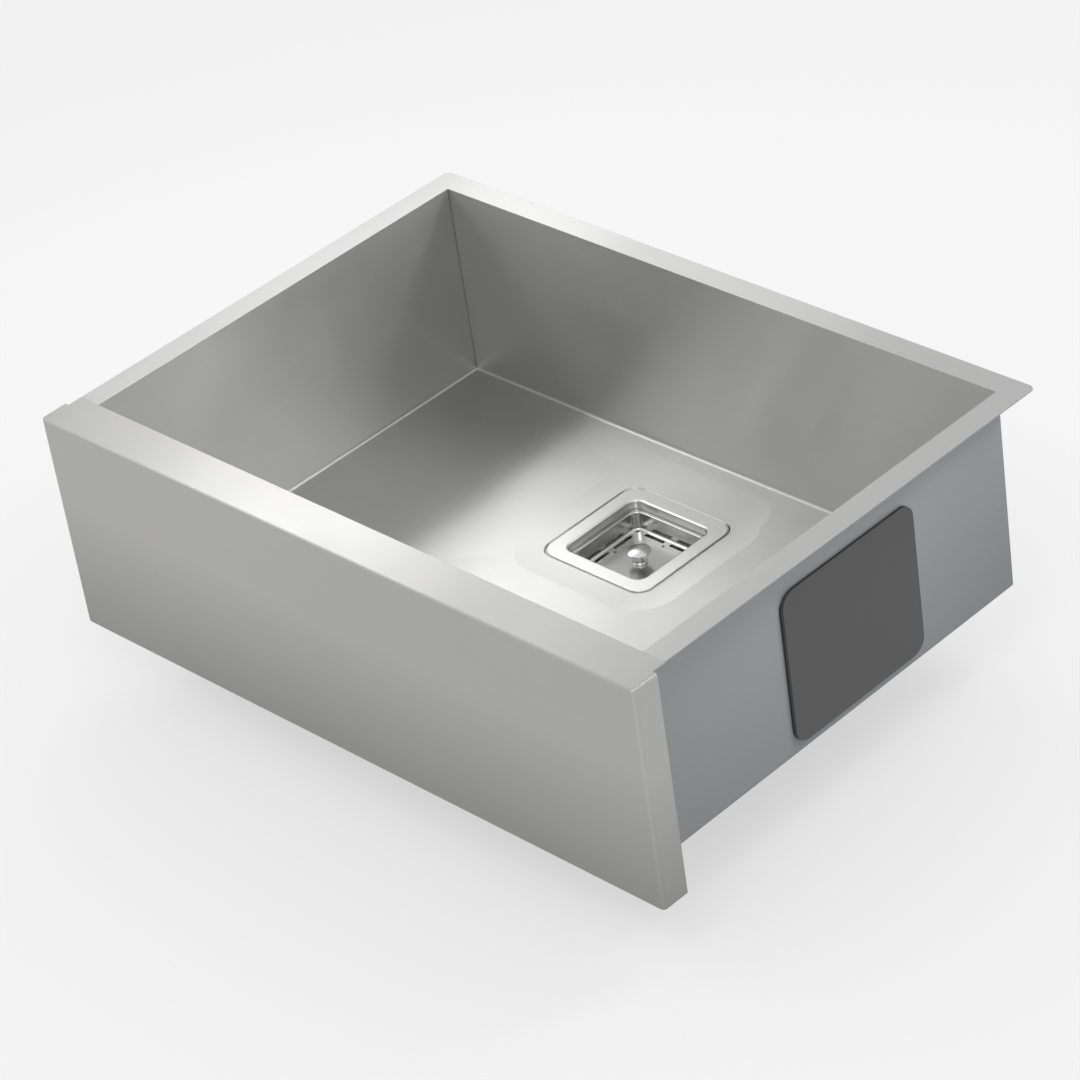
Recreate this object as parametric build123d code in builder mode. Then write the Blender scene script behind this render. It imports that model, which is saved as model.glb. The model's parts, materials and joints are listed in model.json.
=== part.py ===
"""Farmhouse apron front sink: a folded steel basin with a deep front panel, a square strainer
in its floor and a lift-out basket with a push-pull stopper.

Millimetres. The origin is the middle of the front deck's top face: +X to the right of someone at
the sink, +Y away from them, +Z up, so the rim is the plane z = 0 and the basin hangs below it."""

import os

from build123d import *

os.makedirs("parts", exist_ok=True)

# ---------------------------------------------------------------- basin
sheet = 1.5  # steel of the basin and the front panel
basin_length = 700.0  # opening, left to right
basin_width = 470.0  # opening, front to back
basin_depth = 214.0  # rim to the floor at the foot of the walls
floor_fall = 1.8  # from the foot of the walls to the square where the creases end
fold_radius = 3.0  # inside the fold between the walls and the floor
rim_width = 25.0  # flat rim at the back and the sides
rim_corner = 6.0
drain_to_back = 134.5  # drain's centre to the inside of the back wall

# ---------------------------------------------------------------- dished surround of the strainer
crease_square = 160.0  # the floor's four planes fall to this square
dish_to_back = 16.5  # from the dish's rim to the back wall
dish_corner = 60.0  # at the rim
dish_drop = 0.8  # from the creases' square to the level land
dish_curve = 1.5  # 1 for a straight slope, more for one that runs out level at its foot
dish_steps = 5  # sections of the slope
rim_share = 0.8  # the rim's depth, of the depth that the back plane has there
land_margin = 5.0  # level land beyond the recess, all round
recess_depth = 1.8  # the strainer's flange lies in it, just proud of the land
recess_gap = 1.0  # round the flange, at the recess's foot
recess_spread = 1.5  # how much further out its sloping wall is at the top
hole_play = 7.0  # between the mouth and the hole in the floor, all round
floor_hole_corner = 8.0

# ---------------------------------------------------------------- front panel
deck_width = 46.0  # opening to the front face
apron_height = 236.0
apron_return = 30.0  # how far the panel wraps round its ends and its foot
apron_overhang = 6.0  # panel beyond the rim at each end
apron_end_bend = 3.5  # inside radius of the upright bends at the two ends of the face
apron_lip_bend = 1.0  # inside radius of the bends along the top and the foot

brace_height = 120.0
brace_top = 60.0  # below the rim
brace_flange = 22.0
brace_bend = 2.0  # inside radius
brace_pitch = 300.0
brace_count = 3

# ---------------------------------------------------------------- sound pads
pad_thickness = 3.0
pad_corner = 16.0
wall_pad_width = 176.0
wall_pad_height = 162.0
wall_pad_top = 42.0  # below the rim
side_pad_setback = 18.0  # behind the middle of the side wall
back_pad_pitch = 350.0
floor_pad_length = 200.0  # left to right
floor_pad_width = 300.0
floor_pad_pitch = 430.0

# ---------------------------------------------------------------- strainer
pressing = 1.0  # steel of the strainer
flange_reach = 16.5  # flange beyond the mouth, all round
flange_corner = 15.0
mouth_width = 100.0
mouth_corner = 10.0
flange_round = 0.8
mouth_round = 2.5  # outside of the roll from the flange into the mouth
ledge_depth = 11.0  # flange to the ledge that the basket hangs on
ledge_width = 2.5  # round the cup's mouth
cup_corner = 8.0
cup_depth = 55.0  # flange to the cup's floor
cup_round = 6.0
seal_thickness = 1.2
seal_inset = 1.0  # gasket's edge inside the flange's turned edge
turned_gap = 0.3  # turned edge of the flange to the floor

stud_diameter = 5.0
stud_reach = 1.5  # stud's centre beyond the mouth's sides
stud_play = 0.5  # all round, in the rings under the floor
ring_play = 1.0  # between the cup and the rings round it
gasket_reach = 10.0  # beyond the hole in the floor, all round
gasket_corner = 20.0
gasket_thickness = 3.0
slip_ring_thickness = 0.8
frame_thickness = 2.0
frame_turn = 6.0  # depth of the frame's stiffening edge
nut_height = 4.0
nut_across_flats = 8.0
stud_tail = 3.0  # stud below the nut

# ---------------------------------------------------------------- outlet
thread_diameter = 47.8  # outside of the outlet's 1 1/2 in pipe thread
shank_diameter = 52.0  # thicker thread above it, for the locknut
outlet_bore = 40.0
outlet_play = 0.4  # shank in the cup's hole, on the radius
spigot_flange_diameter = 66.0
spigot_flange_thickness = 2.5
seat_chamfer = 1.5
spigot_seal_thickness = 1.5
spigot_washer_thickness = 1.5
locknut_height = 8.0
locknut_across_flats = 64.0
thread_play = 0.1  # nut on the thread, on the radius
free_thread = 22.0  # left below the locknut for the waste pipe

# ---------------------------------------------------------------- basket
basket_sheet = 0.8
basket_play = 1.0  # basket's rim in the mouth, all round
seat_gap = 0.3  # pieces that rest on each other but come apart
wall_play = 1.2  # basket's wall in the cup, all round, at the ledge
basket_draft = 1.5  # how far each wall leans in from its mouth to its foot
basket_corner = 10.0
basket_depth = 18.5
basket_lip_round = 1.2
basket_floor_round = 3.0
panel_inset = 13.0  # raised middle of the floor, to the foot of the wall
panel_corner = 6.0
panel_rise = 1.0
slot_length = 26.0
slot_width = 4.0
slot_inset = 5.5  # slot's centre line to the foot of the wall
slot_pitch = 33.0  # two slots along each wall, a bridge between them
bridge_hole_diameter = 3.0
bridge_hole_inset = 11.0  # hole beside the bridge, to the foot of the wall
corner_hole_diameter = 3.5

# ---------------------------------------------------------------- plunger and its bush
stem_diameter = 6.0
bush_bore_play = 0.1  # on the radius
bush_diameter = 10.0
bush_fit = 0.05  # bush in the basket's hole, on the radius
bush_collar = 15.0
bush_collar_height = 3.0
bush_collar_round = 0.6
detent_wire = 1.6
detent_play = 0.05
detent_depth = 0.4  # grooves round the stem that the detent ring drops into
star_diameter = 26.0
star_hub_diameter = 16.0
star_thickness = 0.8
star_legs = 4
star_leg_width = 6.0
knob_diameter = 24.0
knob_rise = 12.5  # knob's rim above the raised middle, plunger up
knob_thickness = 4.0
knob_edge = 1.2  # thickness of the knob's rim
knob_neck_diameter = 9.0
knob_taper = 1.2  # how far the underside falls from the rim to the neck
knob_socket = 3.0  # how far the stem goes into the knob
stopper_travel = 8.0
stopper_diameter = 54.0
stopper_thickness = 7.0
stopper_taper = 1.5  # how much the foot of the rubber is smaller, on the radius
stopper_hole_play = 0.1
stem_tail_diameter = 5.0
stem_tail = 2.0  # below the nut
stem_collar_diameter = 12.0
stem_collar_height = 1.5
stopper_washer_diameter = 26.0
stopper_washer_thickness = 1.2
stopper_nut_height = 4.0
stopper_nut_across_flats = 8.0

# ---------------------------------------------------------------- places worked out from these
opening_front = deck_width / 2
opening_back = opening_front + basin_width
opening_middle = (opening_front + opening_back) / 2
face_front = -deck_width / 2
return_back = face_front + apron_return
rim_half = basin_length / 2 + rim_width
apron_length = 2 * (rim_half + apron_overhang)

drain_y = opening_back - drain_to_back
floor_level = -basin_depth
flange_width = mouth_width + 2 * flange_reach
floor_hole_width = mouth_width + 2 * (pressing + hole_play)
stud_place = mouth_width / 2 + stud_reach
gasket_width = floor_hole_width + 2 * gasket_reach

crease_level = floor_level - floor_fall
land_level = crease_level - dish_drop
recess_level = land_level - recess_depth
recess_width = flange_width + 2 * recess_gap
recess_corner = flange_corner + recess_gap
land_width = recess_width + 2 * land_margin
land_corner = recess_corner + land_margin

# the dish's rim starts a little above the back plane, so the slope comes out of all four planes
dish_width = 2 * (drain_to_back - dish_to_back)
back_plane = drain_to_back - fold_radius - crease_square / 2
rim_level = floor_level - rim_share * floor_fall * (dish_to_back - fold_radius) / back_plane

cup_width = mouth_width - 2 * ledge_width
basket_mouth = cup_width - 2 * (wall_play + basket_sheet)
basket_floor_width = basket_mouth - 2 * basket_draft
panel_width = basket_floor_width - 2 * panel_inset

flange_under = recess_level + seal_thickness
flange_top = flange_under + pressing
ledge_level = flange_top - ledge_depth
cup_floor = flange_top - cup_depth

spigot_top = cup_floor + spigot_seal_thickness + spigot_flange_thickness
locknut_top = cup_floor - pressing - spigot_washer_thickness
locknut_foot = locknut_top - locknut_height
spigot_foot = locknut_foot - free_thread

basket_rim_top = ledge_level + seat_gap + basket_sheet
basket_floor = basket_rim_top - basket_depth
panel_top = basket_floor + panel_rise
stopper_foot = spigot_top + seat_gap + stopper_travel
stopper_top = stopper_foot + stopper_thickness


def floor_centre(level):
    """Level plane through the drain's axis."""
    return Plane((0, drain_y, level))


drain_axis = Axis((0, drain_y, 0), (0, 0, 1))
drain_section = Plane((0, drain_y, 0), x_dir=(1, 0, 0), z_dir=(0, -1, 0))  # radius, height


def rounded_block(width, corner, top, foot):
    """Square column with rounded upright edges, centred on the drain."""
    with BuildPart() as block:
        with BuildSketch(floor_centre(foot)):
            RectangleRounded(width, width, corner)
        extrude(amount=top - foot)
    return block.part


def basin_volume(skin):
    """The space inside the basin, or with the sheet's thickness as its skin the outside of it."""
    foot = floor_level - skin
    fold = fold_radius + skin
    with BuildPart() as volume:
        with BuildSketch(Plane((0, opening_middle, foot))):
            Rectangle(basin_length + 2 * skin, basin_width + 2 * skin)
        extrude(amount=basin_depth + skin)
        fillet(volume.faces().sort_by(Axis.Z)[0].edges(), radius=fold)
        # four planes fall from the folds towards the strainer, with a crease at each corner
        with BuildSketch(floor_centre(foot - floor_fall)):
            Rectangle(crease_square, crease_square)
        with BuildSketch(Plane((0, opening_middle, foot))):
            Rectangle(basin_length + 2 * (skin - fold), basin_width + 2 * (skin - fold))
        loft(ruled=True)
        # a rounded slope climbs from the level land round the recess and meets the planes
        for step in range(dish_steps + 1):
            share = step / dish_steps
            width = land_width + (dish_width - land_width) * share
            corner = land_corner + (dish_corner - land_corner) * share
            rise = (rim_level - land_level) * share**dish_curve
            with BuildSketch(floor_centre(land_level - skin + rise)):
                RectangleRounded(width, width, corner)
        loft()
        # the recess's wall leans outwards, and is carried on up into the space above the land
        for level in (recess_level, crease_level):
            reach = skin + recess_spread * (level - recess_level) / recess_depth
            width = recess_width + 2 * reach
            with BuildSketch(floor_centre(level - skin)):
                RectangleRounded(width, width, recess_corner + reach)
        loft()
    return volume.part


def tray_volume(skin):
    """The space in the folded front, open at the back, or with a skin the outside of it."""
    foot = sheet - skin - apron_height
    front = face_front + sheet - skin
    with BuildPart() as volume:
        with BuildSketch(Plane.XY.offset(foot)):
            with Locations((0, (front + return_back) / 2)):
                Rectangle(apron_length - 2 * (sheet - skin), return_back - front)
        extrude(amount=-foot - sheet + skin)
        uprights = volume.edges().filter_by(Axis.Z)
        fillet(uprights.group_by(Axis.Y)[0], radius=apron_end_bend + skin)
        lips = volume.faces().filter_by(Axis.Z).edges() - volume.faces().sort_by(Axis.Y)[-1].edges()
        fillet(lips, radius=apron_lip_bend + skin)
    return volume.part


def cup_volume(skin):
    """The space inside the strainer's stepped cup, or with a skin the outside of it."""
    with BuildPart() as volume:
        add(rounded_block(cup_width + 2 * skin, cup_corner + skin, ledge_level, cup_floor - skin))
        fillet(volume.faces().sort_by(Axis.Z)[0].edges(), radius=cup_round + skin)
        add(rounded_block(mouth_width + 2 * skin, mouth_corner + skin, flange_top, ledge_level - skin))
    return volume.part


def basket_volume(skin):
    """The space inside the basket, or with a skin the outside of it."""
    with BuildPart() as volume:
        with BuildSketch(floor_centre(basket_floor - skin)):
            RectangleRounded(
                basket_floor_width + 2 * skin, basket_floor_width + 2 * skin, basket_corner + skin
            )
        with BuildSketch(floor_centre(basket_rim_top)):
            RectangleRounded(basket_mouth + 2 * skin, basket_mouth + 2 * skin, basket_corner + skin)
        loft()
        fillet(volume.faces().sort_by(Axis.Z)[0].edges(), radius=basket_floor_round + skin)
    return volume.part


basin_inside = basin_volume(0)
basin_outside = basin_volume(sheet)

# ================================================================ sheet steel shell
with BuildPart() as bowl:
    add(basin_outside)
    with BuildSketch() as rim:
        with Locations((0, (opening_front + opening_back + rim_width) / 2)):
            Rectangle(2 * rim_half, basin_width + rim_width)
        fillet(rim.vertices().group_by(Axis.Y)[-1], radius=rim_corner)
    extrude(amount=-sheet)
    # the front wall stops under the deck
    with BuildSketch():
        with Locations((0, opening_front - sheet / 2)):
            Rectangle(apron_length, sheet)
    extrude(amount=-sheet, mode=Mode.SUBTRACT)
    add(basin_inside, mode=Mode.SUBTRACT)
    with BuildSketch(floor_centre(recess_level)):
        RectangleRounded(floor_hole_width, floor_hole_width, floor_hole_corner)
    extrude(amount=-2 * sheet, mode=Mode.SUBTRACT)
bowl.part.label = "bowl"
export_step(bowl.part, "parts/bowl.step")

with BuildPart() as apron_panel:
    add(tray_volume(sheet))
    add(tray_volume(0), mode=Mode.SUBTRACT)
    # the deck runs on to the opening
    with BuildSketch():
        with Locations((0, (return_back + opening_front) / 2)):
            Rectangle(2 * rim_half, opening_front - return_back)
    extrude(amount=-sheet)
apron_panel.part.label = "apron_panel"
export_step(apron_panel.part, "parts/apron_panel.step")

# Z brackets between the basin's front wall and the back of the face
with BuildPart() as brace:
    with BuildSketch(Plane.XY.offset(-brace_top)):
        with BuildLine():
            FilletPolyline(
                (-brace_flange, face_front + 1.5 * sheet),
                (0, face_front + 1.5 * sheet),
                (0, opening_front - 1.5 * sheet),
                (brace_flange, opening_front - 1.5 * sheet),
                radius=brace_bend + sheet / 2,
            )
        trace(line_width=sheet)
    extrude(amount=-brace_height)
with BuildPart() as apron_braces:
    with GridLocations(brace_pitch, 0, brace_count, 1):
        add(brace.part)
apron_braces.part.label = "apron_braces"
export_step(apron_braces.part, "parts/apron_braces.step")

# ================================================================ sound pads
wall_pad_middle = -wall_pad_top - wall_pad_height / 2
right_wall = Plane(
    (basin_length / 2 + sheet, opening_middle + side_pad_setback, wall_pad_middle),
    x_dir=(0, 1, 0),
    z_dir=(1, 0, 0),
)
back_wall = Plane((0, opening_back + sheet, wall_pad_middle), x_dir=(-1, 0, 0), z_dir=(0, 1, 0))

with BuildPart() as right_pad:
    with BuildSketch(right_wall):
        RectangleRounded(wall_pad_width, wall_pad_height, pad_corner)
    extrude(amount=pad_thickness)
right_pad.part.label = "right_pad"
export_step(right_pad.part, "parts/right_pad.step")

with BuildPart() as left_pad:
    mirror(right_pad.part, about=Plane.YZ)
left_pad.part.label = "left_pad"
export_step(left_pad.part, "parts/left_pad.step")

with BuildPart() as back_pads:
    with BuildSketch(back_wall):
        with GridLocations(back_pad_pitch, 0, 2, 1):
            RectangleRounded(wall_pad_width, wall_pad_height, pad_corner)
    extrude(amount=pad_thickness)
back_pads.part.label = "back_pads"
export_step(back_pads.part, "parts/back_pads.step")

# the pads under the floor follow its fall
with BuildPart() as floor_pads:
    with BuildSketch(Plane((0, opening_middle, floor_level))):
        with GridLocations(floor_pad_pitch, 0, 2, 1):
            RectangleRounded(floor_pad_length, floor_pad_width, pad_corner)
    extrude(amount=-2 * (floor_fall + sheet + pad_thickness))
    add(basin_volume(sheet + pad_thickness), mode=Mode.INTERSECT)
    add(basin_outside, mode=Mode.SUBTRACT)
floor_pads.part.label = "floor_pads"
export_step(floor_pads.part, "parts/floor_pads.step")

# ================================================================ strainer
with BuildPart() as strainer_body:
    add(rounded_block(flange_width, flange_corner, flange_top, recess_level + turned_gap))
    fillet(strainer_body.faces().sort_by(Axis.Z)[-1].edges(), radius=flange_round)
    add(
        rounded_block(
            flange_width - 2 * pressing, flange_corner - pressing, flange_under, recess_level
        ),
        mode=Mode.SUBTRACT,
    )
    add(cup_volume(pressing))
    underside = strainer_body.faces().sort_by(lambda face: abs(face.center().Z - flange_under))[0]
    fillet(underside.inner_wires()[0].edges(), radius=mouth_round - pressing)
    add(cup_volume(0), mode=Mode.SUBTRACT)
    mouth = strainer_body.faces().sort_by(Axis.Z)[-1].inner_wires()[0]
    fillet(mouth.edges(), radius=mouth_round)
    with BuildSketch(floor_centre(cup_floor)):
        Circle(shank_diameter / 2 + outlet_play)
    extrude(amount=-2 * pressing, mode=Mode.SUBTRACT)
strainer_body.part.label = "strainer_body"
export_step(strainer_body.part, "parts/strainer_body.step")

with BuildPart() as strainer_seal:
    inset = pressing + seal_inset
    with BuildSketch(floor_centre(recess_level)):
        RectangleRounded(flange_width - 2 * inset, flange_width - 2 * inset, flange_corner - inset)
        RectangleRounded(
            floor_hole_width, floor_hole_width, floor_hole_corner, mode=Mode.SUBTRACT
        )
    extrude(amount=seal_thickness)
strainer_seal.part.label = "strainer_seal"
export_step(strainer_seal.part, "parts/strainer_seal.step")

gasket_top = recess_level - sheet
slip_ring_top = gasket_top - gasket_thickness
frame_top = slip_ring_top - slip_ring_thickness
frame_under = frame_top - frame_thickness
stud_foot = frame_under - nut_height - stud_tail
ring_opening = mouth_width + 2 * (pressing + ring_play)
ring_opening_corner = mouth_corner + pressing + ring_play

with BuildSketch() as ring_outline:
    RectangleRounded(gasket_width, gasket_width, gasket_corner)
    RectangleRounded(ring_opening, ring_opening, ring_opening_corner, mode=Mode.SUBTRACT)
    with GridLocations(2 * stud_place, 2 * stud_place, 2, 2):
        Circle(stud_diameter / 2 + stud_play, mode=Mode.SUBTRACT)

with BuildPart() as under_gasket:
    with BuildSketch(floor_centre(gasket_top)):
        add(ring_outline.sketch)
    extrude(amount=-gasket_thickness)
under_gasket.part.label = "under_gasket"
export_step(under_gasket.part, "parts/under_gasket.step")

with BuildPart() as slip_ring:
    with BuildSketch(floor_centre(slip_ring_top)):
        add(ring_outline.sketch)
    extrude(amount=-slip_ring_thickness)
slip_ring.part.label = "slip_ring"
export_step(slip_ring.part, "parts/slip_ring.step")

with BuildPart() as clamp_frame:
    with BuildSketch(floor_centre(frame_top)):
        add(ring_outline.sketch)
    extrude(amount=-frame_turn)
    add(
        rounded_block(
            gasket_width - 2 * frame_thickness,
            gasket_corner - frame_thickness,
            frame_under,
            frame_top - frame_turn,
        ),
        mode=Mode.SUBTRACT,
    )
clamp_frame.part.label = "clamp_frame"
export_step(clamp_frame.part, "parts/clamp_frame.step")

with BuildPart() as clamp_studs:
    with BuildSketch(floor_centre(flange_under)):
        with GridLocations(2 * stud_place, 2 * stud_place, 2, 2):
            Circle(stud_diameter / 2)
    extrude(amount=stud_foot - flange_under)
clamp_studs.part.label = "clamp_studs"
export_step(clamp_studs.part, "parts/clamp_studs.step")

with BuildPart() as clamp_nuts:
    with BuildSketch(floor_centre(frame_under)):
        with GridLocations(2 * stud_place, 2 * stud_place, 2, 2):
            RegularPolygon(nut_across_flats / 2, 6, major_radius=False)
            Circle(stud_diameter / 2 + thread_play, mode=Mode.SUBTRACT)
    extrude(amount=-nut_height)
clamp_nuts.part.label = "clamp_nuts"
export_step(clamp_nuts.part, "parts/clamp_nuts.step")

# ================================================================ outlet
thread_radius = thread_diameter / 2
shank_radius = shank_diameter / 2
bore_radius = outlet_bore / 2

with BuildPart() as outlet_spigot:
    with BuildSketch(drain_section):
        with BuildLine():
            Polyline(
                (bore_radius, spigot_foot),
                (thread_radius, spigot_foot),
                (thread_radius, locknut_foot),
                (shank_radius, locknut_foot),
                (shank_radius, spigot_top - spigot_flange_thickness),
                (spigot_flange_diameter / 2, spigot_top - spigot_flange_thickness),
                (spigot_flange_diameter / 2, spigot_top),
                (bore_radius + seat_chamfer, spigot_top),
                (bore_radius, spigot_top - seat_chamfer),
                close=True,
            )
        make_face()
    revolve(axis=drain_axis)
outlet_spigot.part.label = "outlet_spigot"
export_step(outlet_spigot.part, "parts/outlet_spigot.step")

with BuildPart() as spigot_seal:
    with BuildSketch(floor_centre(cup_floor)):
        Circle(spigot_flange_diameter / 2)
        Circle(shank_radius + outlet_play, mode=Mode.SUBTRACT)
    extrude(amount=spigot_seal_thickness)
spigot_seal.part.label = "spigot_seal"
export_step(spigot_seal.part, "parts/spigot_seal.step")

with BuildPart() as spigot_washer:
    with BuildSketch(floor_centre(locknut_top)):
        Circle(locknut_across_flats / 2)
        Circle(shank_radius + outlet_play, mode=Mode.SUBTRACT)
    extrude(amount=spigot_washer_thickness)
spigot_washer.part.label = "spigot_washer"
export_step(spigot_washer.part, "parts/spigot_washer.step")

with BuildPart() as spigot_locknut:
    with BuildSketch(floor_centre(locknut_top)):
        RegularPolygon(locknut_across_flats / 2, 6, major_radius=False)
        Circle(shank_radius + thread_play, mode=Mode.SUBTRACT)
    extrude(amount=-locknut_height)
spigot_locknut.part.label = "spigot_locknut"
export_step(spigot_locknut.part, "parts/spigot_locknut.step")

# ================================================================ basket
slot_line = basket_floor_width / 2 - slot_inset
bridge_line = basket_floor_width / 2 - bridge_hole_inset

with BuildPart() as basket:
    add(basket_volume(basket_sheet))
    add(
        rounded_block(
            mouth_width - 2 * basket_play,
            mouth_corner - basket_play,
            basket_rim_top,
            basket_rim_top - basket_sheet,
        )
    )
    add(basket_volume(0), mode=Mode.SUBTRACT)
    lip = basket.faces().sort_by(Axis.Z)[-1].inner_wires()[0]
    fillet(lip.edges(), radius=basket_lip_round)
    # the middle of the floor is pressed up
    add(rounded_block(panel_width, panel_corner, panel_top, basket_floor))
    add(
        rounded_block(
            panel_width - 2 * basket_sheet,
            panel_corner - basket_sheet,
            panel_top - basket_sheet,
            basket_floor - basket_sheet,
        ),
        mode=Mode.SUBTRACT,
    )
    with BuildSketch(floor_centre(panel_top)):
        with GridLocations(slot_pitch, 2 * slot_line, 2, 2):
            SlotOverall(slot_length, slot_width)
        with GridLocations(2 * slot_line, slot_pitch, 2, 2):
            SlotOverall(slot_length, slot_width, rotation=90)
        with GridLocations(2 * slot_line, 2 * slot_line, 2, 2):
            Circle(corner_hole_diameter / 2)
        with Locations((0, bridge_line), (0, -bridge_line), (bridge_line, 0), (-bridge_line, 0)):
            Circle(bridge_hole_diameter / 2)
        Circle(bush_diameter / 2)
    extrude(amount=-2 * (panel_rise + basket_sheet), mode=Mode.SUBTRACT)
basket.part.label = "basket"
export_step(basket.part, "parts/basket.step")

panel_under = panel_top - basket_sheet
stem_collar_top = stopper_top + stem_collar_height
bush_foot = stem_collar_top + seat_gap
bush_top = panel_top + bush_collar_height
bush_bore = stem_diameter / 2 + bush_bore_play
detent_level = (panel_top + bush_top) / 2
detent_radius = bush_bore + detent_wire / 2  # centre of the ring's wire
groove_radius = bush_bore + detent_wire + detent_play
groove_half = detent_wire / 2 + detent_play

with BuildPart() as guide_bush:
    with BuildSketch(drain_section):
        with BuildLine():
            Polyline(
                (bush_bore, bush_foot),
                (bush_diameter / 2 - bush_fit, bush_foot),
                (bush_diameter / 2 - bush_fit, panel_top),
                (bush_collar / 2, panel_top),
                (bush_collar / 2, bush_top - bush_collar_round),
                (bush_collar / 2 - bush_collar_round, bush_top),
                (bush_bore, bush_top),
                (bush_bore, detent_level + groove_half),
                (groove_radius, detent_level + groove_half),
                (groove_radius, detent_level - groove_half),
                (bush_bore, detent_level - groove_half),
                close=True,
            )
        make_face()
    revolve(axis=drain_axis)
guide_bush.part.label = "guide_bush"
export_step(guide_bush.part, "parts/guide_bush.step")

with BuildPart() as detent_ring:
    with BuildSketch(drain_section):
        with Locations((detent_radius, detent_level)):
            Circle(detent_wire / 2)
    revolve(axis=drain_axis)
detent_ring.part.label = "detent_ring"
export_step(detent_ring.part, "parts/detent_ring.step")

with BuildPart() as star_washer:
    with BuildSketch(floor_centre(panel_under)):
        Circle(star_hub_diameter / 2)
        with PolarLocations(0, star_legs):
            SlotOverall(star_diameter, star_leg_width)
        Circle(bush_diameter / 2, mode=Mode.SUBTRACT)
    extrude(amount=-star_thickness)
star_washer.part.label = "star_washer"
export_step(star_washer.part, "parts/star_washer.step")

# ================================================================ plunger
knob_foot = panel_top + knob_rise
knob_top = knob_foot + knob_thickness
stem_top = knob_foot - knob_taper + knob_socket
stopper_washer_foot = stopper_foot - stopper_washer_thickness
stopper_nut_foot = stopper_washer_foot - stopper_nut_height
stem_foot = stopper_nut_foot - stem_tail
stem_radius = stem_diameter / 2
tail_radius = stem_tail_diameter / 2

with BuildPart() as plunger_stem:
    with BuildSketch(drain_section):
        with BuildLine():
            Polyline(
                (0, stem_foot),
                (tail_radius, stem_foot),
                (tail_radius, stopper_top),
                (stem_collar_diameter / 2, stopper_top),
                (stem_collar_diameter / 2, stem_collar_top),
                (stem_radius, stem_collar_top),
                (stem_radius, stem_top),
                (0, stem_top),
                close=True,
            )
        make_face()
        # one groove for the plunger up and one for the plunger down
        with Locations(
            (stem_radius, detent_level), (stem_radius, detent_level + stopper_travel)
        ):
            Rectangle(2 * detent_depth, detent_wire, mode=Mode.SUBTRACT)
    revolve(axis=drain_axis)
plunger_stem.part.label = "plunger_stem"
export_step(plunger_stem.part, "parts/plunger_stem.step")

with BuildPart() as knob:
    with BuildSketch(drain_section):
        with BuildLine():
            Polyline(
                (0, knob_top),
                (0, stem_top),
                (stem_radius + thread_play, stem_top),
                (stem_radius + thread_play, knob_foot - knob_taper),
                (knob_neck_diameter / 2, knob_foot - knob_taper),
                (knob_diameter / 2, knob_foot),
                (knob_diameter / 2, knob_foot + knob_edge),
            )
            TangentArc(
                (0, knob_top), (knob_diameter / 2, knob_foot + knob_edge), tangent=(1, 0)
            )
        make_face()
    revolve(axis=drain_axis)
knob.part.label = "knob"
export_step(knob.part, "parts/knob.step")

with BuildPart() as stopper:
    with BuildSketch(drain_section):
        with BuildLine():
            Polyline(
                (tail_radius + stopper_hole_play, stopper_foot),
                (stopper_diameter / 2 - stopper_taper, stopper_foot),
                (stopper_diameter / 2, stopper_foot + stopper_taper),
                (stopper_diameter / 2, stopper_top - stopper_taper),
                (stopper_diameter / 2 - stopper_taper, stopper_top),
                (tail_radius + stopper_hole_play, stopper_top),
                close=True,
            )
        make_face()
    revolve(axis=drain_axis)
stopper.part.label = "stopper"
export_step(stopper.part, "parts/stopper.step")

with BuildPart() as stopper_washer:
    with BuildSketch(floor_centre(stopper_foot)):
        Circle(stopper_washer_diameter / 2)
        Circle(tail_radius + stopper_hole_play, mode=Mode.SUBTRACT)
    extrude(amount=-stopper_washer_thickness)
stopper_washer.part.label = "stopper_washer"
export_step(stopper_washer.part, "parts/stopper_washer.step")

with BuildPart() as stopper_nut:
    with BuildSketch(floor_centre(stopper_washer_foot)):
        RegularPolygon(stopper_nut_across_flats / 2, 6, major_radius=False)
        Circle(tail_radius + thread_play, mode=Mode.SUBTRACT)
    extrude(amount=-stopper_nut_height)
stopper_nut.part.label = "stopper_nut"
export_step(stopper_nut.part, "parts/stopper_nut.step")
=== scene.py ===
"""Looks of the farmhouse apron front sink: finishes, floor, lamps and camera, in metres."""

import json
import math
from collections import namedtuple

import bmesh
import bpy
from mathutils import Matrix, Vector


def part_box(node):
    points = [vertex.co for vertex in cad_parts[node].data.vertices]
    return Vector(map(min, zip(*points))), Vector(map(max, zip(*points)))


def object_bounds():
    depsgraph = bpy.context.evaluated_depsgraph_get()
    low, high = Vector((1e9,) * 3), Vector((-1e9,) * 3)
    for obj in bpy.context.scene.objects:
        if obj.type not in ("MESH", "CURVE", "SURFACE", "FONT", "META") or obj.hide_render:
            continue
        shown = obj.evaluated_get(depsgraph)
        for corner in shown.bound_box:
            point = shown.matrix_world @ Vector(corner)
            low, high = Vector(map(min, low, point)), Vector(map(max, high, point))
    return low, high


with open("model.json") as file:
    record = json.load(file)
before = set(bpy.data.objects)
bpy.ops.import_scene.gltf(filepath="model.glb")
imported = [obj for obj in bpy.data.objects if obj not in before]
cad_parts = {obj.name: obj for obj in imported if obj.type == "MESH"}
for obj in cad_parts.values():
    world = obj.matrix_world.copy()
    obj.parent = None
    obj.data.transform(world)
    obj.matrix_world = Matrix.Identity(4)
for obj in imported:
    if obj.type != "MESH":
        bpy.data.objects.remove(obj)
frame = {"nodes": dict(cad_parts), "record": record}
cad_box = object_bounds()
scene = bpy.context.scene

# ---------------------------------------------------------------- the basin's opening
RIM_WIDTH = 0.025  # at the back and the sides
panel_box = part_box("apron_panel")
bowl_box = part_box("bowl")
opening_front = -panel_box[0].y  # the front deck's middle is y = 0
opening_back = bowl_box[1].y - RIM_WIDTH
opening_middle = (opening_front + opening_back) / 2
half_width = (opening_back - opening_front) / 2
half_length = bowl_box[1].x - RIM_WIDTH

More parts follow.
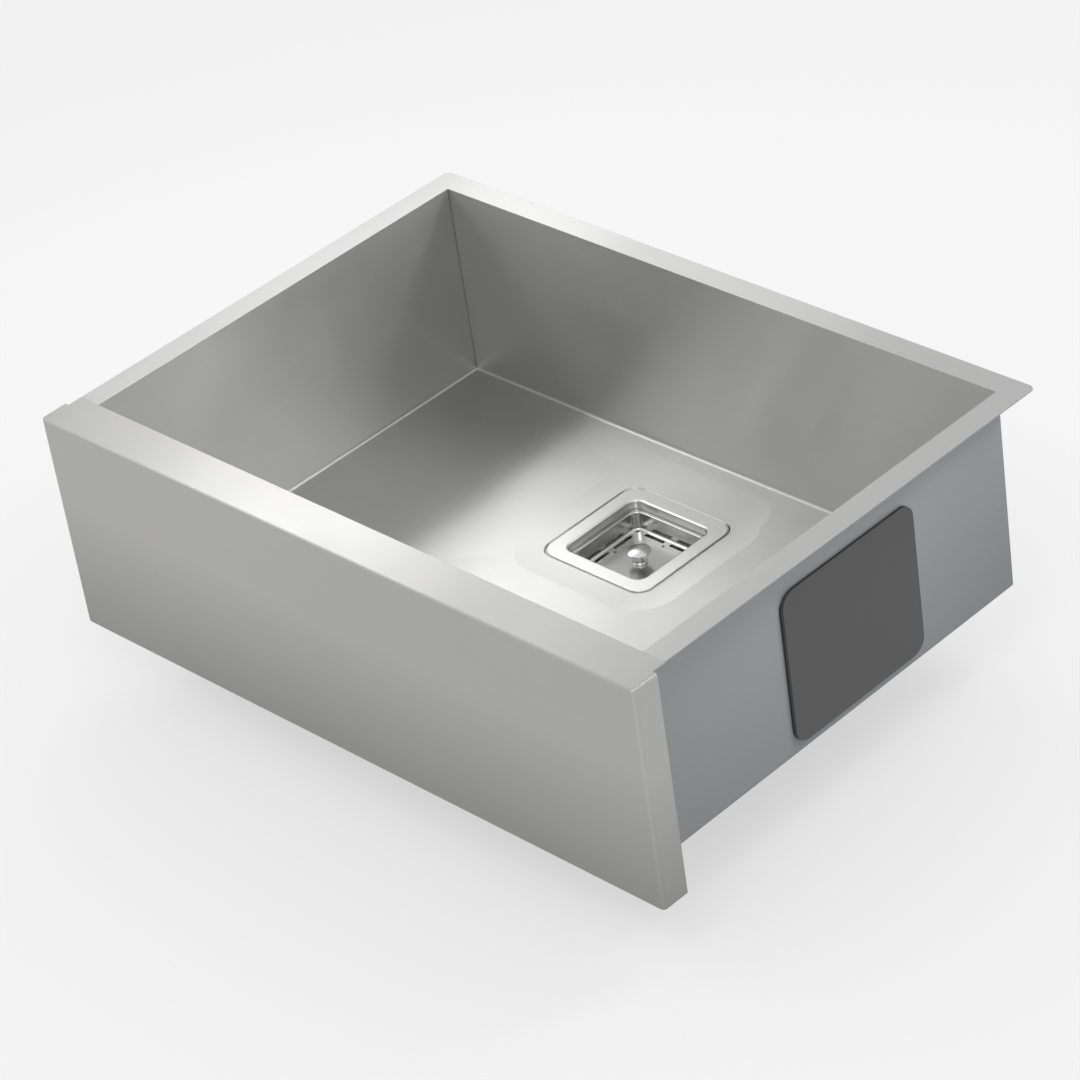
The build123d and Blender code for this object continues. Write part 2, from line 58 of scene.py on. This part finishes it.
# ---------------------------------------------------------------- node helpers
NOISE_RANGE = (0.3, 0.7)  # where nearly all of a noise texture's values lie
MIX_SOCKETS = {"FLOAT": (0, 2, 3, 0), "VECTOR": (0, 4, 5, 1), "RGBA": (0, 6, 7, 2)}


class Graph:
    """Builds one material's nodes: each call adds a node and returns the output asked for."""

    def __init__(self, name):
        self.material = bpy.data.materials.new(name)
        self.material.use_nodes = True
        self.tree = self.material.node_tree
        self.tree.nodes.clear()

    def feed(self, socket, value):
        """Links value to the socket if it is another node's output, and sets it otherwise."""
        if isinstance(value, bpy.types.NodeSocket):
            self.tree.links.new(value, socket)
        else:
            socket.default_value = value

    def node(self, kind, inputs=None, **props):
        made = self.tree.nodes.new("ShaderNode" + kind)
        for key, value in props.items():
            setattr(made, key, value)
        for key, value in (inputs or {}).items():
            self.feed(made.inputs[key], value)
        return made

    def math(self, operation, a, b=0.0):
        return self.node("Math", {0: a, 1: b}, operation=operation).outputs[0]

    def times(self, a, b):
        return self.math("MULTIPLY", a, b)

    def plus(self, a, b):
        return self.math("ADD", a, b)

    def above(self, value, edge):
        """1 where value is above edge, 0 elsewhere."""
        return self.math("GREATER_THAN", value, edge)

    def vector_math(self, operation, a, b=None):
        inputs = {0: a} if b is None else {0: a, 1: b}
        made = self.node("VectorMath", inputs, operation=operation)
        return made.outputs["Value" if operation == "DOT_PRODUCT" else 0]

    def scaled(self, vector, share):
        return self.node("VectorMath", {0: vector, "Scale": share}, operation="SCALE").outputs[0]

    def parts(self, vector):
        """The x, y and z of a vector."""
        return self.node("SeparateXYZ", {0: vector}).outputs

    def ramp(self, value, low, high, at_low, at_high):
        """A straight change from at_low to at_high while value goes from low to high."""
        inputs = {"Value": value, "From Min": low, "From Max": high, "To Min": at_low, "To Max": at_high}
        return self.node("MapRange", inputs, clamp=True).outputs[0]

    def varied(self, noise, least, most):
        """A noise's usual values spread from least to most."""
        return self.ramp(noise, *NOISE_RANGE, least, most)

    def noise(self, vector, scale, detail, roughness):
        inputs = {"Vector": vector, "Scale": scale, "Detail": detail, "Roughness": roughness}
        return self.node("TexNoise", inputs).outputs["Fac"]

    def mix(self, factor, a, b, kind="FLOAT"):
        """a where factor is 0 and b where it is 1."""
        *sockets, output = MIX_SOCKETS[kind]
        return self.node("Mix", dict(zip(sockets, (factor, a, b))), data_type=kind).outputs[output]

    def bevelled(self, radius):
        """The normal, with every sharp edge rounded by that radius."""
        return self.node("Bevel", {"Radius": radius}, samples=4).outputs[0]

    def bump(self, height, distance, strength, normal):
        inputs = {"Height": height, "Distance": distance, "Strength": strength, "Normal": normal}
        return self.node("Bump", inputs).outputs["Normal"]

    def finish(self, shader):
        self.node("OutputMaterial", {"Surface": shader.outputs[0]})
        return self.material


def tone(level, tint=(1.0, 1.0, 1.0)):
    """A colour from how light it is and how it leans."""
    return tuple(level * share for share in tint) + (1.0,)


# ---------------------------------------------------------------- brushed steel
FINE_LINES = (6, 1500, 1500)  # a noise's cells in a metre, along the lines and across them
BROAD_LINES = (2.5, 260, 260)
LINE_HEIGHT = 0.00002
WAVE_SIZE, WAVE_HEIGHT = 4.2, 0.004  # cells in a metre of the sheet's slight waves
SIDEWAYS = 0.7  # a face looks along X where its normal's x is past this
INSIDE_TOP = 0.0008  # the basin's inside starts this far below the rim's face
MIDDLE_HEIGHT = 0.01  # faces that look away from this height over the opening are outer ones
WELD_WIDTH, WELD_SHADE = 0.0012, 0.74  # the ground welds down the basin's corners

# painted shade: a colour that darkens downwards, to share of itself at the height low, standing in for
# the shadowed floor that the sheet's lower part reflects
Foot = namedtuple("Foot", "low high share")
# what differs inside and outside the basin from its rim: a painted lighter tone inside, a painted darker
# shade outside that darkens further towards its foot, and a rougher outside
BasinPaintedLightAndRoughness = namedtuple("BasinPaintedLightAndRoughness", "inner outer outer_rough outer_foot")


def lines(g, place, along_y, cells, detail, roughness):
    """Noise drawn out along X, or along Y where along_y is 1."""
    run_x = g.vector_math("MULTIPLY", place, cells)
    run_y = g.vector_math("MULTIPLY", place, (cells[1], cells[0], cells[2]))
    return g.mix(along_y, g.noise(run_x, 1.0, detail, roughness), g.noise(run_y, 1.0, detail, roughness))


# painted shade: darker towards the foot
def paint_foot_shade(g, height, foot):
    return g.ramp(height, foot.low, foot.high, foot.share, 1.0)


def basin_colour_and_painted_light(g, place, true_normal, rim, tones):
    """The colour inside, outside and on the rim, with painted light inside and painted shade outside; its
    shade, with painted shade towards the outside's foot and darker welds; and 1 on the outside.
    """
    x, y, height = g.parts(place)
    from_middle = g.vector_math("SUBTRACT", place, (0, opening_middle, MIDDLE_HEIGHT))
    outside = g.above(g.vector_math("DOT_PRODUCT", true_normal, from_middle), 0.0)
    below_rim = g.math("LESS_THAN", height, -INSIDE_TOP)
    inside = g.times(below_rim, g.math("SUBTRACT", 1.0, outside))
    # painted light and shade: one steel, given a lighter tone inside and a darker one outside than on the
    # rim
    colour = g.mix(outside, rim, tones.outer, "RGBA")
    colour = g.mix(inside, colour, tones.inner, "RGBA")

    # painted shade: the outside darkens towards its foot
    shade = g.mix(outside, 1.0, paint_foot_shade(g, height, tones.outer_foot))
    near_end = g.above(g.math("ABSOLUTE", x), half_length - WELD_WIDTH)
    from_centre = g.math("ABSOLUTE", g.math("SUBTRACT", y, opening_middle))
    near_side = g.above(from_centre, half_width - WELD_WIDTH)
    weld = g.times(g.times(near_side, near_end), inside)
    return colour, g.times(shade, g.mix(weld, 1.0, WELD_SHADE)), outside


def brushed_steel(name, base, rough, aniso, edge, wave=0.0, basin=None, foot=None):
    """Steel with a directional satin: its lines run along Y on the side walls, along X elsewhere. Painted
    shade darkens it towards the foot where asked, and a basin gets painted light inside and painted shade
    outside.
    """
    g = Graph(name)
    place = g.node("TexCoord").outputs["Object"]
    true_normal = g.node("NewGeometry").outputs["True Normal"]
    along_y = g.above(g.parts(g.vector_math("ABSOLUTE", true_normal))[0], SIDEWAYS)
    fine = lines(g, place, along_y, FINE_LINES, 3.0, 0.6)
    broad = lines(g, place, along_y, BROAD_LINES, 2.0, 0.5)
    smear = g.noise(place, 9.0, 3.0, 0.55)

    satin = g.plus(g.times(fine, 0.6), g.times(broad, 0.4))
    shade = g.times(g.varied(satin, 0.98, 1.015), g.varied(smear, 0.985, 1.01))
    roughness = g.varied(smear, rough - 0.025, rough + 0.03)
    roughness = g.plus(roughness, g.varied(fine, -0.02, 0.02))
    colour = base[:3]
    # painted shade, darker towards the foot
    if foot:
        shade = g.times(shade, paint_foot_shade(g, g.parts(place)[2], foot))
    # painted light inside the basin and painted shade outside it
    if basin:
        colour, basin_painted_shade_and_welds, outside = basin_colour_and_painted_light(g, place, true_normal, base, basin)
        shade = g.times(shade, basin_painted_shade_and_welds)
        roughness = g.plus(roughness, g.times(outside, basin.outer_rough))

    normal = g.bevelled(edge)
    if wave:
        normal = g.bump(g.noise(place, WAVE_SIZE, 1.0, 0.4), WAVE_HEIGHT, wave, normal)
    brush = g.mix(along_y, (1.0, 0.0, 0.0), (0.0, 1.0, 0.0), "VECTOR")
    across = g.vector_math("CROSS_PRODUCT", true_normal, brush)
    shader = g.node(
        "BsdfPrincipled",
        {
            "Base Color": g.scaled(colour, shade),
            "Metallic": 1.0,
            "Roughness": roughness,
            "Anisotropic": aniso,
            "Normal": g.bump(broad, LINE_HEIGHT, 0.5, normal),
            "Tangent": g.vector_math("NORMALIZE", across),
        },
    )
    return g.finish(shader)


# ---------------------------------------------------------------- other materials
def plain_metal(name, base, rough, wear=0.03, scale=60.0):
    """Polished, plated or turned metal with faint handling marks, that many in a metre."""
    g = Graph(name)
    place = g.node("TexCoord").outputs["Object"]
    marks = g.noise(place, scale, 4.0, 0.6)
    fine = g.noise(place, scale * 12, 2.0, 0.6)
    normal = g.node("NewGeometry").outputs["Normal"]
    shader = g.node(
        "BsdfPrincipled",
        {
            "Base Color": g.scaled(base[:3], g.varied(marks, 1.0 - wear, 1.0 + wear / 2)),
            "Metallic": 1.0,
            "Roughness": g.plus(g.varied(marks, rough, rough + wear), g.varied(fine, -0.01, 0.02)),
            "Normal": g.bump(fine, 0.00001, 0.3, normal),
        },
    )
    return g.finish(shader)


def matt_sheet(name, base, rough, scale=900.0, wave=0.0):
    """Rubber or pressed fibre with a grain of that many pores in a metre, and dusty patches."""
    g = Graph(name)
    place = g.node("TexCoord").outputs["Object"]
    pores = g.noise(place, scale, 3.0, 0.6)
    dust = g.noise(place, 14.0, 4.0, 0.55)
    normal = g.node("NewGeometry").outputs["Normal"]
    if wave:
        normal = g.bump(g.noise(place, 18.0, 1.0, 0.4), 0.003, wave, normal)
    shade = g.times(g.varied(pores, 0.9, 1.08), g.varied(dust, 0.93, 1.08))
    shader = g.node(
        "BsdfPrincipled",
        {
            "Base Color": g.scaled(base[:3], shade),
            "Roughness": g.varied(dust, rough - 0.06, rough + 0.06),
            "Normal": g.bump(pores, 0.0001, 0.4, normal),
        },
    )
    return g.finish(shader)


NEUTRAL = (1.0, 1.0, 0.995)
WARM = (1.0, 0.995, 0.975)
COOL = (0.975, 1.0, 1.02)
ZINC = (0.97, 1.0, 1.04)
BRASS = (1.0, 0.79, 0.45)
FIBRE = (1.0, 0.74, 0.5)
SHEET_ROUGH, SHEET_ANISO = 0.32, 1.0

# painted light inside the basin, painted shade outside it, and a rougher outside
basin_painted_light_and_roughness = BasinPaintedLightAndRoughness(
    inner=tone(0.54, NEUTRAL),
    outer=tone(0.36, COOL),
    outer_rough=0.1,
    outer_foot=Foot(-0.21, -0.02, 0.76),
)
# painted shade: the apron panel darkens towards its foot, for the shadowed floor it reflects there
panel_painted_foot = Foot(-0.23, -0.09, 0.69)
finish_of = {
    "basin_steel": brushed_steel(
        "basin_steel", tone(0.51, NEUTRAL), SHEET_ROUGH, SHEET_ANISO, 0.0007, wave=0.06, basin=basin_painted_light_and_roughness
    ),
    "panel_steel": brushed_steel(
        "panel_steel", tone(0.455, WARM), SHEET_ROUGH, SHEET_ANISO, 0.0009, wave=0.05, foot=panel_painted_foot
    ),
    "strainer_steel": brushed_steel("strainer_steel", tone(0.70, NEUTRAL), SHEET_ROUGH, 0.8, 0.0004),
    "polished_steel": plain_metal("polished_steel", tone(0.60, NEUTRAL), 0.2),
    "zinc_steel": plain_metal("zinc_steel", tone(0.5, ZINC), 0.34, wear=0.08, scale=120.0),
    "plain_brass": plain_metal("plain_brass", tone(0.6, BRASS), 0.22, wear=0.06, scale=90.0),
    "pad_rubber": matt_sheet("pad_rubber", tone(0.062), 0.6, wave=0.14),
    "black_rubber": matt_sheet("black_rubber", tone(0.022), 0.5),
    "fibre": matt_sheet("fibre", tone(0.2, FIBRE), 0.75, scale=1400.0),
}


def dress(obj, material):
    if not obj.material_slots:
        obj.data.materials.append(material)
    for slot in obj.material_slots:
        slot.material = material


for entry in frame["record"]["subparts"]:
    dress(frame["nodes"][entry["node"]], finish_of[entry["material_slot"]])

# ---------------------------------------------------------------- floor
FLOOR_GAP = 0.0005  # under the outlet
FLOOR_HALF = 14.0
FLOOR_GREY, FLOOR_GLOW = 0.30, 0.555


def lay_floor():
    """A plain pale floor, which glows a little so that the sink's shadow on it stays faint."""
    grid = bmesh.new()
    bmesh.ops.create_grid(grid, x_segments=1, y_segments=1, size=FLOOR_HALF)
    mesh = bpy.data.meshes.new("studio_floor")
    grid.to_mesh(mesh)
    grid.free()
    g = Graph("studio_floor")
    shader = g.node(
        "BsdfPrincipled",
        {
            "Base Color": tone(FLOOR_GREY),
            "Roughness": 0.9,
            "Specular IOR Level": 0.0,
            "Emission Color": tone(1.0),
            "Emission Strength": FLOOR_GLOW,
        },
    )
    laid = bpy.data.objects.new("studio_floor", mesh)
    laid.location = (0, 0, cad_box[0].z - FLOOR_GAP)
    scene.collection.objects.link(laid)
    dress(laid, g.finish(shader))
    return laid


studio_floor = lay_floor()

# ---------------------------------------------------------------- light
world = bpy.data.worlds.new("studio")
world.use_nodes = True
world.node_tree.nodes["Background"].inputs["Color"].default_value = tone(1.0)
world.node_tree.nodes["Background"].inputs["Strength"].default_value = 1.0
scene.world = world


def soft_box(name, place, target, width, height, radiance, along):
    """A flat lamp of that radiance, aimed at target, its width laid along that direction."""
    data = bpy.data.lights.new(name, "AREA")
    data.shape = "RECTANGLE"
    data.size = width
    data.size_y = height
    data.energy = radiance * width * height * math.pi
    back = (Vector(place) - Vector(target)).normalized()
    side = Vector(along)
    side = (side - back * side.dot(back)).normalized()
    turned = Matrix((side, back.cross(side), back)).transposed().to_4x4()
    lamp = bpy.data.objects.new(name, data)
    lamp.matrix_world = Matrix.Translation(place) @ turned
    scene.collection.objects.link(lamp)


FLOOR_MIDDLE = (-0.05, 0.25, -0.1)
KEY_ALONG = (0.9, 0.1, 0.5)
CORNER_ALONG = (0.6, -0.9, 0.0)

# the highlights on the deck, the back rim and the basin's floor
soft_box("key_core", (-0.79, 0.56, 0.633), FLOOR_MIDDLE, 0.20, 0.72, 1.15, KEY_ALONG)
soft_box("key_lamp", (-0.73, 0.62, 0.63), FLOOR_MIDDLE, 0.70, 0.70, 0.75, KEY_ALONG)
# the left rim and the deck's left end
soft_box("left_lamp", (-1.16, 0.15, 1.24), (-0.1, 0.2, -0.05), 0.904, 0.40, 1.0, (-0.04, 0.90, -0.08))
soft_box("front_left_lamp", (-1.40, -0.70, 1.0), (0.0, 0.45, -0.2), 0.5, 0.5, 1.0, CORNER_ALONG)
# the left wall, and through it the floor beside it
soft_box("back_right_lamp", (0.80, 1.02, 0.95), (-0.3, 0.25, -0.2), 0.25, 0.6, 6.2, CORNER_ALONG)
soft_box("corner_lamp", (0.35, 1.25, 0.85), (-0.35, 0.40, -0.05), 0.35, 0.35, 2.4, (0.7, -0.7, 0.0))
soft_box("front_right_lamp", (0.95, -1.20, 1.90), (-0.3, 0.3, -0.2), 0.8, 0.8, 4.5, (0.7, 0.7, 0.0))

# ---------------------------------------------------------------- camera
CAMERA_PLACE = (2.3526, -1.8217, 1.9624)
CAMERA_LOOK = (-0.62404439, 0.54580485, -0.55916514)
CAMERA_RIGHT = (0.7154837, 0.68677916, -0.12813064)
SENSOR_WIDTH, LENS = 36.0, 134.4  # millimetres


def set_camera():
    data = bpy.data.cameras.new("camera")
    data.sensor_width = SENSOR_WIDTH
    data.lens = LENS
    data.clip_start = 0.05
    data.clip_end = 60.0
    look = Vector(CAMERA_LOOK).normalized()
    right = Vector(CAMERA_RIGHT).normalized()
    up = right.cross(look).normalized()
    camera = bpy.data.objects.new("camera", data)
    turned = Matrix((right, up, -look)).transposed().to_4x4()
    camera.matrix_world = Matrix.Translation(CAMERA_PLACE) @ turned
    scene.collection.objects.link(camera)
    scene.camera = camera


set_camera()
scene.view_settings.view_transform = "Standard"

bpy.context.view_layer.update()
